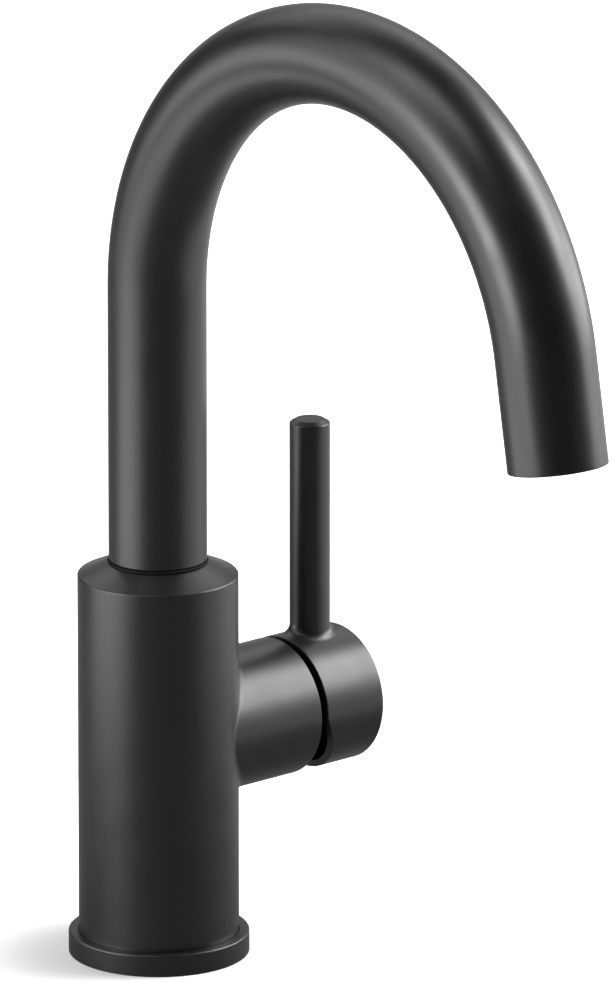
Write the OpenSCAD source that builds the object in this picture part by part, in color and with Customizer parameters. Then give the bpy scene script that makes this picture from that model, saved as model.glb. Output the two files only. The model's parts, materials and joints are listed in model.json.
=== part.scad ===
// Gooseneck bar faucet with a swivelling spout and a side lever.
// Millimetres. The origin is where the column's axis meets the deck, +Z is up,
// the spout reaches towards -Y and the valve's axis runs along +X.

/* [Spout] */
// Outside diameter of the spout tube
spout_d = 29.3; // [28:0.1:31]
// Wall of the spout tube
spout_wall = 1.2; // [0.9:0.1:1.5]
// Straight rise of the tube from its foot to the bend
spout_rise = 83.5; // [60:0.1:140]
// Radius of the bend along the tube's middle line
bend_r = 86; // [60:0.5:110]
// Angle through which the tube bends
bend_angle = 170; // [150:1:180]
// Straight length from the bend to the outlet
spout_drop = 32.5; // [26:0.1:60]

/* [Spout joint] */
// Thickness of the glide ring under the tube's foot
glide_t = 0.9; // [0.6:0.1:1.5]
// How far the glide ring stands proud of the tube all round
glide_proud = 0.4; // [0.2:0.1:0.6]
// Diameter of the adapter's shank, which turns in the body
shank_d = 23.8; // [23:0.1:24]
// Length of the shank below the tube's foot
shank_len = 35.1; // [32.6:0.1:36.6]
// Wall of the adapter's shank
adapter_wall = 3.4; // [2.8:0.1:5]
// Length of adapter inside the tube
plug_len = 14; // [10:0.5:20]
// Thickness of the O-rings on the shank
o_ring_t = 2; // [1.6:0.1:2.2]
// Thickness of the split ring that holds the spout down
split_ring_t = 1.4; // [1:0.1:1.6]
// Opening of the split ring
split_ring_gap = 6; // [3:0.5:9]

/* [Outlet] */
// Thickness of the collar that holds the aerator in the tube
collar_t = 1.75; // [1.4:0.05:2.5]
// Height of the aerator's housing
aerator_h = 9.9; // [8:0.1:12]
// Wall of the aerator's housing
aerator_wall = 1.2; // [0.8:0.1:1.5]
// How far the aerator sits back from the tube's end
aerator_recess = 1.6; // [1.2:0.1:3]
// Thickness of the screen
screen_t = 1; // [0.8:0.1:1.4]
// Width of the holes in the screen
screen_hole = 2; // [1.6:0.1:2.2]
// Thickness of the aerator's washer
washer_t = 1.5; // [1:0.1:2]

/* [Column] */
// Outside diameter of the column
column_d = 47.9; // [47:0.1:50]
// Height of the column's rim above the deck
column_h = 117.4; // [115:0.1:140]
// Rise of the coned top from the rim to the glide ring's seat
top_rise = 3.6; // [1:0.1:5]
// Wall of the column
column_wall = 2.6; // [2:0.1:2.8]
// Thickness of the column's top below its rim
top_t = 7; // [6:0.1:8]
// Bevel round the column's rim
top_bevel = 0.5; // [0.3:0.1:1]

/* [Base] */
// How far the base ring stands out from the column
ring_proud = 3.05; // [2:0.05:6]
// Height of the base ring
ring_h = 6.7; // [5:0.1:9]
// Bevel round the base ring's top edge
ring_bevel = 0.5; // [0.3:0.1:1]
// Thickness of the gasket, which lies flush in the base
gasket_t = 2; // [1.5:0.1:3]
// Thickness of the mounting plate
plate_t = 14; // [12:0.5:18]
// Diameter of the threaded hole for the fixing stud
stud_hole_d = 6.8; // [6:0.1:8]
// Diameter of the threaded holes for the inlet hoses
inlet_hole_d = 9; // [8:0.1:9.5]
// Diameter of the plate's screws
plate_screw_d = 4; // [3:0.1:4.5]
// Length of the plate's screws below their heads
plate_screw_len = 18; // [14:0.5:22]

/* [Valve] */
// Height of the valve's axis above the deck
valve_z = 66.7; // [60:0.1:75]
// Wall of the side boss round the ring nut
boss_wall = 2.6; // [2:0.05:3]
// How far the boss stands out from the column
boss_proud = 22.65; // [19:0.05:27]
// Bevel round the boss's open face
boss_bevel = 0.2; // [0.1:0.1:0.5]
// How far the ring nut lies below the boss's open face
nut_sink = 0.6; // [0.2:0.05:1.5]
// Diameter of the inlet waterways
inlet_way_d = 5.2; // [4.5:0.1:5.4]
// Diameter of the outlet waterway
outlet_way_d = 7.2; // [6:0.1:7.4]

/* [Cartridge] */
// Outside diameter of the cartridge
cartridge_d = 35; // [30:0.1:40]
// Wall of the cartridge's housing
housing_wall = 1.8; // [1.5:0.1:1.9]
// Thickness of the cartridge's base
base_t = 5.5; // [5:0.1:6]
// Thickness of each ceramic disc
disc_t = 4; // [3.8:0.1:4.2]
// Thickness of the disc's carrier
carrier_t = 6.5; // [6:0.1:7]
// Thickness of the stem holder's flange
flange_t = 5; // [4.6:0.1:5.4]
// Thickness of the cartridge's lid
lid_t = 2.5; // [2.3:0.1:3]
// Width of the lid's lip over the stem holder
lid_lip = 4.4; // [3.5:0.1:5]
// Diameter of the stem's pivot pin
pin_d = 3; // [2.5:0.1:3.2]
// Width of the square stem
stem_w = 8; // [7.6:0.1:8.4]
// Diameter of the stem's round inner tip
tip_d = 6; // [5.6:0.1:6.4]
// Thickness of the port seals
seal_t = 1.2; // [1:0.1:1.4]

/* [Bonnet] */
// Thickness of the ring nut that clamps the cartridge
nut_t = 5; // [4.6:0.1:5.3]
// Room between the stem holder's nose and the ring nut's bore
nut_room = 1.5; // [1:0.1:2.5]
// Length of the cap
cap_len = 4.2; // [3.4:0.1:4.4]

/* [Handle] */
// Gap between the boss and the hub above the valve's axis
hub_gap = 2.3; // [2:0.1:3]
// Length of the hub along its axis
hub_len = 22.2; // [22:0.1:26]
// Wall of the hub
hub_wall = 2; // [1.7:0.1:2.2]
// Thickness of the hub's closed end
hub_end_t = 4.5; // [4:0.1:5]
// Bevel round the hub's closed end
hub_bevel = 0.4; // [0.2:0.1:0.8]
// Angle left between hub and boss when the handle is fully open
relief_spare = 0.8; // [0.5:0.1:3]
// Diameter of the lever
lever_d = 12.2; // [11:0.1:13]
// Height of the lever's top above the valve's axis
lever_len = 86.9; // [60:0.1:110]
// Distance from the hub's open face to the lever's axis
lever_x = 10.8; // [10:0.1:12]
// Width of the bevel round the lever's top
lever_bevel = 1.8; // [0.5:0.1:2]
// Height of the bevel round the lever's top
lever_bevel_h = 1.1; // [0.5:0.1:2]
// Radius of the fillet between lever and hub
lever_fillet = 3.5; // [2:0.1:4.5]
// Angle that the handle tilts from closed to fully open
flow_angle = 20; // [16:0.5:20]
// Diameter of the handle's set screw
set_screw_d = 5; // [4:0.1:5.2]
// Length of the handle's set screw
set_screw_len = 10; // [8:0.1:11]

/* [Fits] */
// Radial clearance where one piece turns in another
run_clear = 0.08; // [0.05:0.01:0.1]
// Radial clearance where pieces are fixed together
fix_clear = 0.05; // [0.02:0.01:0.08]
// Clearance between faces that slide past each other
face_clear = 0.15; // [0.1:0.01:0.2]
// Clearance between moving pieces that don't guide each other
free_clear = 0.3; // [0.25:0.01:0.4]

/* [Hidden] */
$fn = 96;
// Overrun of every cut past the face it opens
cut = 1;

black = [0.11, 0.11, 0.12];
dark_plastic = [0.04, 0.04, 0.04];
brass = [0.78, 0.62, 0.32];
steel = [0.68, 0.69, 0.71];
plastic = [0.86, 0.86, 0.83];
ceramic = [0.93, 0.91, 0.87];
rubber = [0.08, 0.08, 0.08];

// Spout, from the column's top upwards
spout_r = spout_d / 2;
spout_ir = spout_r - spout_wall;
// How far the straight lengths reach into the bend's wall, and their step below its skin
tuck_len = 1;
tuck_step = 0.02;
glide_r = spout_r + glide_proud;
top_seat_z = column_h + top_rise;
foot_z = top_seat_z + glide_t + face_clear;
bend_z = foot_z + spout_rise;
end_y = -bend_r + bend_r * cos(bend_angle);
end_z = bend_z + bend_r * sin(bend_angle);
outlet_y = end_y - spout_drop * sin(bend_angle);
outlet_z = end_z + spout_drop * cos(bend_angle);

// Spout joint, from the top plate downwards
shank_r = shank_d / 2;
adapter_bore_r = shank_r - adapter_wall;
socket_r = shank_r + run_clear;
top_under_z = column_h - top_t;
sleeve_wall = 1.5;
sleeve_r = shank_r + run_clear + sleeve_wall;
sleeve_flange_t = 1.2;
sleeve_flange_r = sleeve_r + sleeve_flange_t;
split_top_z = top_under_z - sleeve_flange_t - face_clear;
split_depth = 1.5;
split_out_r = sleeve_r - face_clear;
split_in_r = shank_r - split_depth;
pocket_r = sleeve_flange_r + free_clear;
pocket_floor_z = split_top_z - split_ring_t - split_depth;
shank_low_z = foot_z - shank_len;
socket_floor_gap = 1.5;
socket_floor_z = shank_low_z - socket_floor_gap;
o_ring_r = o_ring_t / 2;
o_ring_mid_r = shank_r + run_clear / 2 - o_ring_r;
groove_w = o_ring_t + free_clear;
groove_r = o_ring_mid_r - o_ring_r - fix_clear;
o_ring_low_z = shank_low_z + o_ring_t + groove_w;
o_ring_pitch = 3 * o_ring_t;

// Outlet, measured up the tube from its end
aerator_r = spout_ir - collar_t;
aerator_in_r = aerator_r - aerator_wall;
aerator_lip = 1;
collar_low = aerator_recess / 2;
collar_lip_t = 1.5;
collar_seat = aerator_recess + aerator_h + washer_t;
washer_wall = 2.4;
regulator_h = aerator_h - aerator_lip - screen_t - aerator_wall;
regulator_hole = 1.6;
regulator_hole_count = 8;
screen_pitch = 1.35 * screen_hole;
screen_rings = floor((aerator_in_r - screen_hole) / screen_pitch);
coin_slot_w = 2.4;
coin_slot_t = 0.8;

// Column and base
column_r = column_d / 2;
column_bore_r = column_r - column_wall;
core_r = column_bore_r - 4 * fix_clear;
top_seat_r = glide_r + face_clear;
ring_r = column_r + ring_proud;
ring_bore_r = column_r + 2 * fix_clear;
ring_step_r = (ring_bore_r + ring_r) / 2 + gasket_t / 4;
gasket_in_r = core_r - gasket_t / 2;
plate_low_r = gasket_in_r - 4 * fix_clear;
screw_rim = 0.8;
screw_count = 3;
plate_screw_r = plate_screw_d / 2;
screw_head_r = 0.85 * plate_screw_d;
screw_head_h = plate_screw_d;
screw_ring_r = plate_low_r - screw_head_r - screw_rim;
head_sink = 0.5;
screw_key_w = 0.7 * plate_screw_d;

// Valve: places along its axis are distances from the column's axis
cartridge_r = cartridge_d / 2;
recess_r = cartridge_r + 4 * fix_clear;
thread_step = 0.5;
thread_r = recess_r + thread_step;
valve_r = thread_r + boss_wall;
boss_reach = column_r + boss_proud;
lid_stack = carrier_t + free_clear + flange_t + face_clear + lid_t;
seat_x = boss_reach - nut_sink - nut_t - lid_stack - 2 * disc_t - fix_clear - base_t;
housing_in_r = cartridge_r - housing_wall;
fixed_disc_x = seat_x + base_t;
moving_disc_x = fixed_disc_x + disc_t + fix_clear;
carrier_x = moving_disc_x + disc_t;
flange_x = carrier_x + carrier_t + free_clear;
lid_x = flange_x + flange_t + face_clear;
lid_end_x = lid_x + lid_t;
nose_r = housing_in_r - lid_lip;
stem_step = 0.5;
nose_end_x = lid_end_x + pin_d + stem_step;
pivot_x = lid_end_x;
pin_r = pin_d / 2;
pin_len = 1.75 * nose_r;
tip_r = tip_d / 2;
tip_x = carrier_x + carrier_t - tip_r * 0.45;
tip_arm = pivot_x - tip_x;
tip_pocket_x = tip_x - tip_r - face_clear;
stem_boss_r = stem_w / 2 + stem_step;
neck_w = 0.8 * tip_d;
tip_swing = tip_arm * sin(flow_angle) + tip_r;
boss_swing = (nose_end_x - pivot_x) * sin(flow_angle) + stem_w / 2;
stem_slot_h = 2 * (max(tip_swing, boss_swing, stem_boss_r) + free_clear);
stem_slot_w = stem_w + 2 * face_clear;
carrier_r = housing_in_r - tip_arm * sin(flow_angle) - free_clear;
fixed_disc_r = housing_in_r - free_clear;
port_up = 4.2;
inlet_inset = 7.7;
outlet_inset = 7.5;
port_down = housing_in_r - outlet_inset;
// The upright inlet waterways stand this far behind the cartridge's seat
way_back = 5;
way_x = seat_x - way_back;
way_y = housing_in_r - inlet_inset;
inlet_way_r = inlet_way_d / 2;
outlet_way_r = outlet_way_d / 2;
// The upright waterways are this much wider and longer than the level ones they meet
way_step = 0.4;
seal_gap = 0.6;
seal_wall = 1.3;
mix_depth = disc_t / 2;
mix_lap = 0.4;
mix_top = port_up - inlet_way_r - mix_lap;
mix_low = port_down / 2;
mix_half_w = way_y + inlet_way_r / 2;

// Bonnet
nut_x = lid_end_x;
nut_end_x = nut_x + nut_t;
nut_r = thread_r - run_clear;
nut_bore_r = nose_r + nut_room;
cap_r = recess_r - free_clear;
cap_bore_r = nut_bore_r - stem_step;
cap_bevel = 1;
nut_slot_w = 4;
nut_slot_t = 1.6;
nut_slots = 4;

// Handle
hub_x = boss_reach + hub_gap;
relief_angle = flow_angle + relief_spare;
hub_end_x = hub_x + hub_len;
hub_in_end_x = hub_end_x - hub_end_t;
hub_cavity_r = valve_r - hub_wall;
lever_r = lever_d / 2;
lever_axis_x = hub_x + lever_x;
flare_angle = 40;
grip_r = stem_w / 2 * sqrt(2) + 2.8;
grip_x = hub_x + 6.6;
stem_end_x = hub_in_end_x - stem_step;
set_screw_r = set_screw_d / 2;
set_screw_x = (grip_x + hub_in_end_x) / 2;
set_screw_top = stem_w / 2 + fix_clear;
screw_post_r = set_screw_r + 2;
plug_t = 2.5;
plug_sink = 0.4;

// Frames in which the pieces are drawn

// Children stand on the valve's axis: their +Z runs outwards and their -X is up
module on_valve(x) {
    translate([x, 0, valve_z])
        rotate([0, 90, 0])
            children();
}

// A port of the valve, at y across and up above the axis
module on_port(x, y, up) {
    on_valve(x)
        translate([-up, y, 0])
            children();
}

// Children stand in the outlet: their +Z runs up the tube from its end
module on_outlet(up) {
    translate([0, outlet_y, outlet_z])
        rotate([bend_angle - 180, 0, 0])
            translate([0, 0, up])
                children();
}

// Children lie along Y, centred on the valve's axis
module across_valve(x) {
    translate([x, 0, valve_z])
        rotate([90, 0, 0])
            children();
}

module tube(r_out, r_in, h) {
    difference() {
        cylinder(r = r_out, h = h);
        translate([0, 0, -cut])
            cylinder(r = r_in, h = h + 2 * cut);
    }
}

module coned(r, h, run, fall) {
    rotate_extrude()
        polygon([[0, 0], [r, 0], [r, h - fall], [r - run, h], [0, h]]);
}

module bevelled(r, h, bevel) {
    coned(r, h, bevel, bevel);
}

// Spout

// Each straight length ends just inside the bend's wall, which joins them in one solid
module spout_tube() {
    color(black) {
        translate([0, 0, foot_z])
            tube(spout_r - tuck_step, spout_ir + tuck_step, spout_rise + tuck_len);
        translate([0, -bend_r, bend_z])
            rotate([90, 0, 90])
                rotate_extrude(angle = bend_angle)
                    translate([bend_r, 0])
                        difference() {
                            circle(r = spout_r);
                            circle(r = spout_ir);
                        }
        on_outlet(0)
            tube(spout_r - tuck_step, spout_ir + tuck_step, spout_drop + tuck_len);
    }
}

module spout_glide_ring() {
    color(dark_plastic)
        translate([0, 0, top_seat_z])
            tube(glide_r, socket_r, glide_t);
}

module spout_adapter() {
    color(brass)
        difference() {
            union() {
                translate([0, 0, shank_low_z])
                    cylinder(r = shank_r, h = shank_len);
                translate([0, 0, foot_z])
                    bevelled(spout_ir - fix_clear, plug_len, top_bevel);
            }
            translate([0, 0, shank_low_z - cut])
                cylinder(r = adapter_bore_r, h = shank_len + plug_len + 2 * cut);
            for (i = [0 : 1])
                translate([0, 0, o_ring_low_z + i * o_ring_pitch - groove_w / 2])
                    tube(shank_r + cut, groove_r, groove_w);
            translate([0, 0, split_top_z - split_ring_t - fix_clear])
                tube(shank_r + cut, split_in_r - fix_clear, split_ring_t + 2 * fix_clear);
        }
}

module spout_o_rings() {
    color(rubber)
        for (i = [0 : 1])
            translate([0, 0, o_ring_low_z + i * o_ring_pitch])
                rotate_extrude()
                    translate([o_ring_mid_r, 0])
                        circle(r = o_ring_r);
}

module spout_sleeve() {
    color(plastic)
        difference() {
            union() {
                translate([0, 0, top_under_z])
                    cylinder(r = sleeve_r, h = top_t + top_rise - face_clear);
                translate([0, 0, top_under_z - sleeve_flange_t])
                    cylinder(r = sleeve_flange_r, h = sleeve_flange_t);
            }
            translate([0, 0, top_under_z - sleeve_flange_t - cut])
                cylinder(r = socket_r, h = top_t + top_rise + sleeve_flange_t + 2 * cut);
        }
}

module spout_retaining_ring() {
    color(steel)
        translate([0, 0, split_top_z - split_ring_t])
            difference() {
                tube(split_out_r, split_in_r, split_ring_t);
                translate([0, -split_ring_gap / 2, -cut])
                    cube([split_out_r + cut, split_ring_gap, split_ring_t + 2 * cut]);
            }
}

// Outlet

module outlet_collar() {
    collar_h = collar_seat + collar_lip_t - collar_low;
    color(brass)
        on_outlet(collar_low)
            difference() {
                cylinder(r = spout_ir - fix_clear, h = collar_h);
                translate([0, 0, -cut])
                    cylinder(r = aerator_r + fix_clear, h = collar_seat - collar_low + cut);
                cylinder(r = aerator_r - washer_wall, h = collar_h + cut);
            }
}

module aerator_housing() {
    color(dark_plastic)
        on_outlet(aerator_recess)
            difference() {
                cylinder(r = aerator_r, h = aerator_h);
                translate([0, 0, aerator_lip])
                    cylinder(r = aerator_in_r, h = aerator_h);
                translate([0, 0, -cut])
                    cylinder(r = aerator_in_r - aerator_lip, h = aerator_h);
                for (side = [0, 180])
                    rotate(side)
                        translate([aerator_in_r - aerator_lip - cut, -coin_slot_w / 2, -cut])
                            cube([aerator_r, coin_slot_w, coin_slot_t + cut]);
            }
}

// Holes of the screen stand in rings round a middle hole
module aerator_screen() {
    color(steel)
        on_outlet(aerator_recess + aerator_lip)
            difference() {
                cylinder(r = aerator_in_r - fix_clear, h = screen_t);
                for (ring = [0 : screen_rings - 1])
                    for (i = [0 : max(0, 6 * ring - 1)])
                        rotate(i * 60 / max(1, ring))
                            translate([ring * screen_pitch, 0, -cut])
                                cylinder(d = screen_hole, h = screen_t + 2 * cut, $fn = 24);
            }
}

module flow_regulator() {
    color(plastic)
        on_outlet(aerator_recess + aerator_lip + screen_t)
            difference() {
                cylinder(r = aerator_in_r - fix_clear, h = regulator_h);
                translate([0, 0, aerator_wall])
                    tube(aerator_in_r - aerator_wall, aerator_in_r / 3, regulator_h);
                for (i = [0 : regulator_hole_count - 1])
                    rotate(i * 360 / regulator_hole_count)
                        translate([aerator_in_r * 0.62, 0, -cut])
                            cylinder(d = regulator_hole, h = regulator_h + 2 * cut, $fn = 24);
            }
}

module aerator_washer() {
    color(rubber)
        on_outlet(aerator_recess + aerator_h)
            tube(aerator_r - fix_clear, aerator_r - washer_wall, washer_t);
}

// Column and base

// The column, bevelled at its rim and coned from there to the glide ring's seat
module column_outside() {
    rotate_extrude()
        polygon([[0, gasket_t], [column_r, gasket_t], [column_r, column_h - top_bevel],
            [column_r - top_bevel, column_h], [top_seat_r, top_seat_z], [0, top_seat_z]]);
}

module body_shell() {
    color(black)
        difference() {
            union() {
                column_outside();
                on_valve(0)
                    bevelled(valve_r, boss_reach, boss_bevel);
            }
            translate([0, 0, gasket_t - cut])
                cylinder(r = column_bore_r, h = top_under_z - gasket_t + cut);
            translate([0, 0, top_under_z - cut])
                cylinder(r = sleeve_r + fix_clear, h = top_t + top_rise + 2 * cut);
            on_valve(0)
                cylinder(r = recess_r, h = boss_reach + cut);
            on_valve(nut_x)
                cylinder(r = thread_r, h = boss_reach - nut_x + cut);
        }
}

module base_ring() {
    color(black)
        difference() {
            bevelled(ring_r, ring_h, ring_bevel);
            translate([0, 0, -cut])
                cylinder(r = ring_bore_r, h = ring_h + 2 * cut);
            translate([0, 0, -cut])
                cylinder(r = ring_step_r, h = gasket_t + cut);
        }
}

module base_gasket() {
    color(rubber)
        tube(ring_step_r - fix_clear, gasket_in_r, gasket_t);
}

module plate_screw_places() {
    for (i = [0 : screw_count - 1])
        rotate(i * 360 / screw_count)
            translate([screw_ring_r, 0, 0])
                children();
}

module mounting_plate() {
    color(brass)
        difference() {
            union() {
                cylinder(r = plate_low_r, h = gasket_t + cut);
                translate([0, 0, gasket_t])
                    cylinder(r = core_r, h = plate_t - gasket_t);
            }
            translate([0, 0, -cut])
                cylinder(d = stud_hole_d, h = plate_t + 2 * cut);
            for (side = [-1, 1])
                translate([way_x, side * way_y, -cut])
                    cylinder(d = inlet_hole_d, h = plate_t + 2 * cut);
            plate_screw_places() {
                translate([0, 0, -cut])
                    cylinder(r = plate_screw_r + fix_clear, h = plate_t + 2 * cut);
                translate([0, 0, -cut])
                    cylinder(r = screw_head_r + fix_clear, h = head_sink + screw_head_h + cut);
            }
        }
}

module plate_screws() {
    color(steel)
        plate_screw_places()
            translate([0, 0, head_sink])
                difference() {
                    union() {
                        cylinder(r = screw_head_r, h = screw_head_h);
                        cylinder(r = plate_screw_r, h = screw_head_h + plate_screw_len);
                    }
                    translate([0, 0, -cut])
                        cylinder(d = screw_key_w, h = screw_head_h / 2 + cut, $fn = 6);
                }
}

module valve_body() {
    screw_end_z = head_sink + screw_head_h + plate_screw_len;
    outlet_way_low_z = valve_z - port_down - outlet_way_r - way_step;
    inlet_way_top_z = valve_z + port_up + inlet_way_r + way_step;
    color(brass)
        difference() {
            translate([0, 0, plate_t])
                cylinder(r = core_r, h = top_under_z - plate_t);
            translate([0, 0, socket_floor_z])
                cylinder(r = socket_r, h = top_under_z);
            translate([0, 0, pocket_floor_z])
                cylinder(r = pocket_r, h = top_under_z);
            on_valve(seat_x)
                cylinder(r = recess_r, h = core_r);
            translate([0, 0, outlet_way_low_z])
                cylinder(r = outlet_way_r + way_step, h = socket_floor_z - outlet_way_low_z + cut);
            on_port(0, 0, -port_down)
                cylinder(r = outlet_way_r, h = seat_x + cut);
            for (side = [-1, 1]) {
                translate([way_x, side * way_y, plate_t - cut])
                    cylinder(r = inlet_way_r + way_step, h = inlet_way_top_z - plate_t + cut);
                on_port(way_x, side * way_y, port_up)
                    cylinder(r = inlet_way_r, h = seat_x - way_x + cut);
            }
            plate_screw_places()
                translate([0, 0, plate_t - cut])
                    cylinder(r = plate_screw_r + fix_clear, h = screw_end_z - plate_t + 2 * cut);
        }
}

// Cartridge

// Both inlets and the outlet, as holes of their own sizes
module ports(x, h, grow) {
    for (side = [-1, 1])
        on_port(x, side * way_y, port_up)
            cylinder(r = inlet_way_r + grow, h = h);
    on_port(x, 0, -port_down)
        cylinder(r = outlet_way_r + grow, h = h);
}

module cartridge_housing() {
    length = lid_end_x - seat_x;
    color(plastic)
        on_valve(seat_x)
            difference() {
                bevelled(cartridge_r, length, housing_wall / 3);
                translate([0, 0, -cut])
                    cylinder(r = housing_in_r, h = lid_x - seat_x + cut);
                translate([0, 0, -cut])
                    cylinder(r = nose_r + run_clear, h = length + 2 * cut);
            }
}

module cartridge_base() {
    color(plastic)
        difference() {
            on_valve(seat_x)
                cylinder(r = housing_in_r - fix_clear, h = base_t);
            ports(seat_x - cut, base_t + 2 * cut, 0);
            ports(seat_x - cut, seal_t + cut, seal_gap + seal_wall + fix_clear);
        }
}

module port_seal(x, y, up, way_r) {
    on_port(x, y, up)
        tube(way_r + seal_gap + seal_wall, way_r + seal_gap, seal_t);
}

module cartridge_seals() {
    color(rubber) {
        for (side = [-1, 1])
            port_seal(seat_x, side * way_y, port_up, inlet_way_r);
        port_seal(seat_x, 0, -port_down, outlet_way_r);
    }
}

module fixed_disc() {
    color(ceramic)
        difference() {
            on_valve(fixed_disc_x)
                cylinder(r = fixed_disc_r, h = disc_t);
            ports(fixed_disc_x - cut, disc_t + 2 * cut, 0);
        }
}

// The pocket in its face joins the outlet to the inlets when the disc slides up
module moving_disc() {
    color(ceramic)
        difference() {
            on_valve(moving_disc_x)
                cylinder(r = carrier_r, h = disc_t);
            on_port(moving_disc_x - cut, 0, -mix_low)
                cylinder(r = port_down / 2 + seal_gap, h = mix_depth + cut);
            translate([moving_disc_x - cut, -mix_half_w, valve_z - mix_low])
                cube([mix_depth + cut, 2 * mix_half_w, mix_low + mix_top]);
        }
}

module disc_carrier() {
    pocket_w = tip_d + 2 * run_clear;
    color(plastic)
        difference() {
            on_valve(carrier_x)
                cylinder(r = carrier_r, h = carrier_t);
            translate([tip_pocket_x, -stem_w / 2 - free_clear, valve_z - pocket_w / 2])
                cube([carrier_t, stem_w + 2 * free_clear, pocket_w]);
        }
}

module stem_holder() {
    color(plastic)
        difference() {
            union() {
                on_valve(flange_x)
                    cylinder(r = housing_in_r - free_clear, h = flange_t);
                on_valve(flange_x)
                    bevelled(nose_r, nose_end_x - flange_x, stem_step);
            }
            translate([flange_x - cut, -stem_slot_w / 2, valve_z - stem_slot_h / 2])
                cube([nose_end_x - flange_x + 2 * cut, stem_slot_w, stem_slot_h]);
            across_valve(pivot_x)
                cylinder(r = pin_r + fix_clear, h = pin_len, center = true);
        }
}

module stem_pivot_pin() {
    color(steel)
        across_valve(pivot_x)
            cylinder(r = pin_r, h = pin_len, center = true);
}

module cartridge_stem() {
    color(brass)
        difference() {
            union() {
                across_valve(pivot_x)
                    cylinder(r = stem_boss_r, h = stem_w, center = true);
                across_valve(tip_x)
                    cylinder(r = tip_r, h = stem_w, center = true);
                translate([tip_x, -stem_w / 2, valve_z - neck_w / 2])
                    cube([tip_arm, stem_w, neck_w]);
                translate([pivot_x, -stem_w / 2, valve_z - stem_w / 2])
                    cube([stem_end_x - pivot_x, stem_w, stem_w]);
            }
            across_valve(pivot_x)
                cylinder(r = pin_r + run_clear, h = stem_w + 2 * cut, center = true);
        }
}

// Bonnet

module bonnet_nut() {
    color(brass)
        on_valve(nut_x)
            difference() {
                cylinder(r = nut_r, h = nut_t);
                translate([0, 0, -cut])
                    cylinder(r = nut_bore_r, h = nut_t + 2 * cut);
                for (i = [0 : nut_slots - 1])
                    rotate(i * 360 / nut_slots)
                        translate([nut_bore_r - cut, -nut_slot_w / 2, nut_t - nut_slot_t])
                            cube([nut_slot_w, nut_slot_w, nut_slot_t + cut]);
            }
}

module bonnet_cap() {
    color(dark_plastic)
        on_valve(nut_end_x)
            difference() {
                bevelled(cap_r, cap_len, cap_bevel);
                translate([0, 0, -cut])
                    cylinder(r = cap_bore_r, h = cap_len + 2 * cut);
            }
}

// Handle

// A hollow curve from the lever's side that runs out in a cone into the hub
module lever_flare() {
    mid_r = lever_r + lever_fillet;
    mid_z = valve_r + lever_fillet * sin(flare_angle);
    run_r = mid_r - lever_fillet * cos(flare_angle);
    low_r = run_r + hub_wall * tan(flare_angle);
    rotate_extrude()
        difference() {
            polygon([[0, valve_r - hub_wall], [low_r, valve_r - hub_wall], [run_r, valve_r],
                [mid_r, mid_z], [0, mid_z]]);
            translate([mid_r, mid_z])
                circle(r = lever_fillet);
        }
}

module hub_relief() {
    translate([hub_x, 0, valve_z])
        rotate([0, -relief_angle, 0])
            translate([-hub_len, -valve_r - cut, -2 * valve_r])
                cube([hub_len, 2 * (valve_r + cut), 2 * valve_r]);
}

module hub_hollow() {
    on_valve(hub_x - cut)
        cylinder(r = hub_cavity_r, h = hub_in_end_x - hub_x + cut);
}

module handle_outside() {
    on_valve(hub_x)
        bevelled(valve_r, hub_len, hub_bevel);
    translate([lever_axis_x, 0, valve_z]) {
        lever_flare();
        coned(lever_r, lever_len, lever_bevel, lever_bevel_h);
    }
}

module handle() {
    color(black)
        difference() {
            union() {
                difference() {
                    handle_outside();
                    hub_hollow();
                    hub_relief();
                }
                on_valve(grip_x)
                    cylinder(r = grip_r, h = hub_in_end_x - grip_x + cut);
                translate([set_screw_x, 0, valve_z - hub_cavity_r - hub_wall / 2])
                    cylinder(r = screw_post_r, h = hub_cavity_r + hub_wall / 2);
            }
            translate([grip_x - cut, -stem_w / 2 - fix_clear, valve_z - stem_w / 2 - fix_clear])
                cube([hub_in_end_x - grip_x + cut, stem_w + 2 * fix_clear, stem_w + 2 * fix_clear]);
            translate([set_screw_x, 0, valve_z - valve_r - cut])
                cylinder(r = set_screw_r + fix_clear, h = valve_r + cut);
        }
}

module handle_set_screw() {
    color(steel)
        translate([set_screw_x, 0, valve_z - set_screw_top - set_screw_len])
            difference() {
                cylinder(r = set_screw_r, h = set_screw_len);
                translate([0, 0, -cut])
                    cylinder(d = set_screw_r, h = set_screw_r + cut, $fn = 6);
            }
}

module handle_screw_plug() {
    color(dark_plastic)
        translate([set_screw_x, 0, valve_z - valve_r + plug_sink])
            cylinder(r = set_screw_r, h = plug_t);
}

spout_tube();
spout_glide_ring();
spout_adapter();
spout_o_rings();
spout_sleeve();
spout_retaining_ring();
outlet_collar();
aerator_housing();
aerator_screen();
flow_regulator();
aerator_washer();
body_shell();
base_ring();
base_gasket();
mounting_plate();
plate_screws();
valve_body();
cartridge_housing();
cartridge_base();
cartridge_seals();
fixed_disc();
moving_disc();
disc_carrier();
stem_holder();
stem_pivot_pin();
cartridge_stem();
bonnet_nut();
bonnet_cap();
handle();
handle_set_screw();
handle_screw_plug();
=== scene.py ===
# Gooseneck bar faucet in satin black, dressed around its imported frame.
# Metres: the column stands on +Z, the spout reaches towards -Y and the valve points along +X.
import json
import math
import bmesh
import bpy
from mathutils import Matrix, Vector


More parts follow.
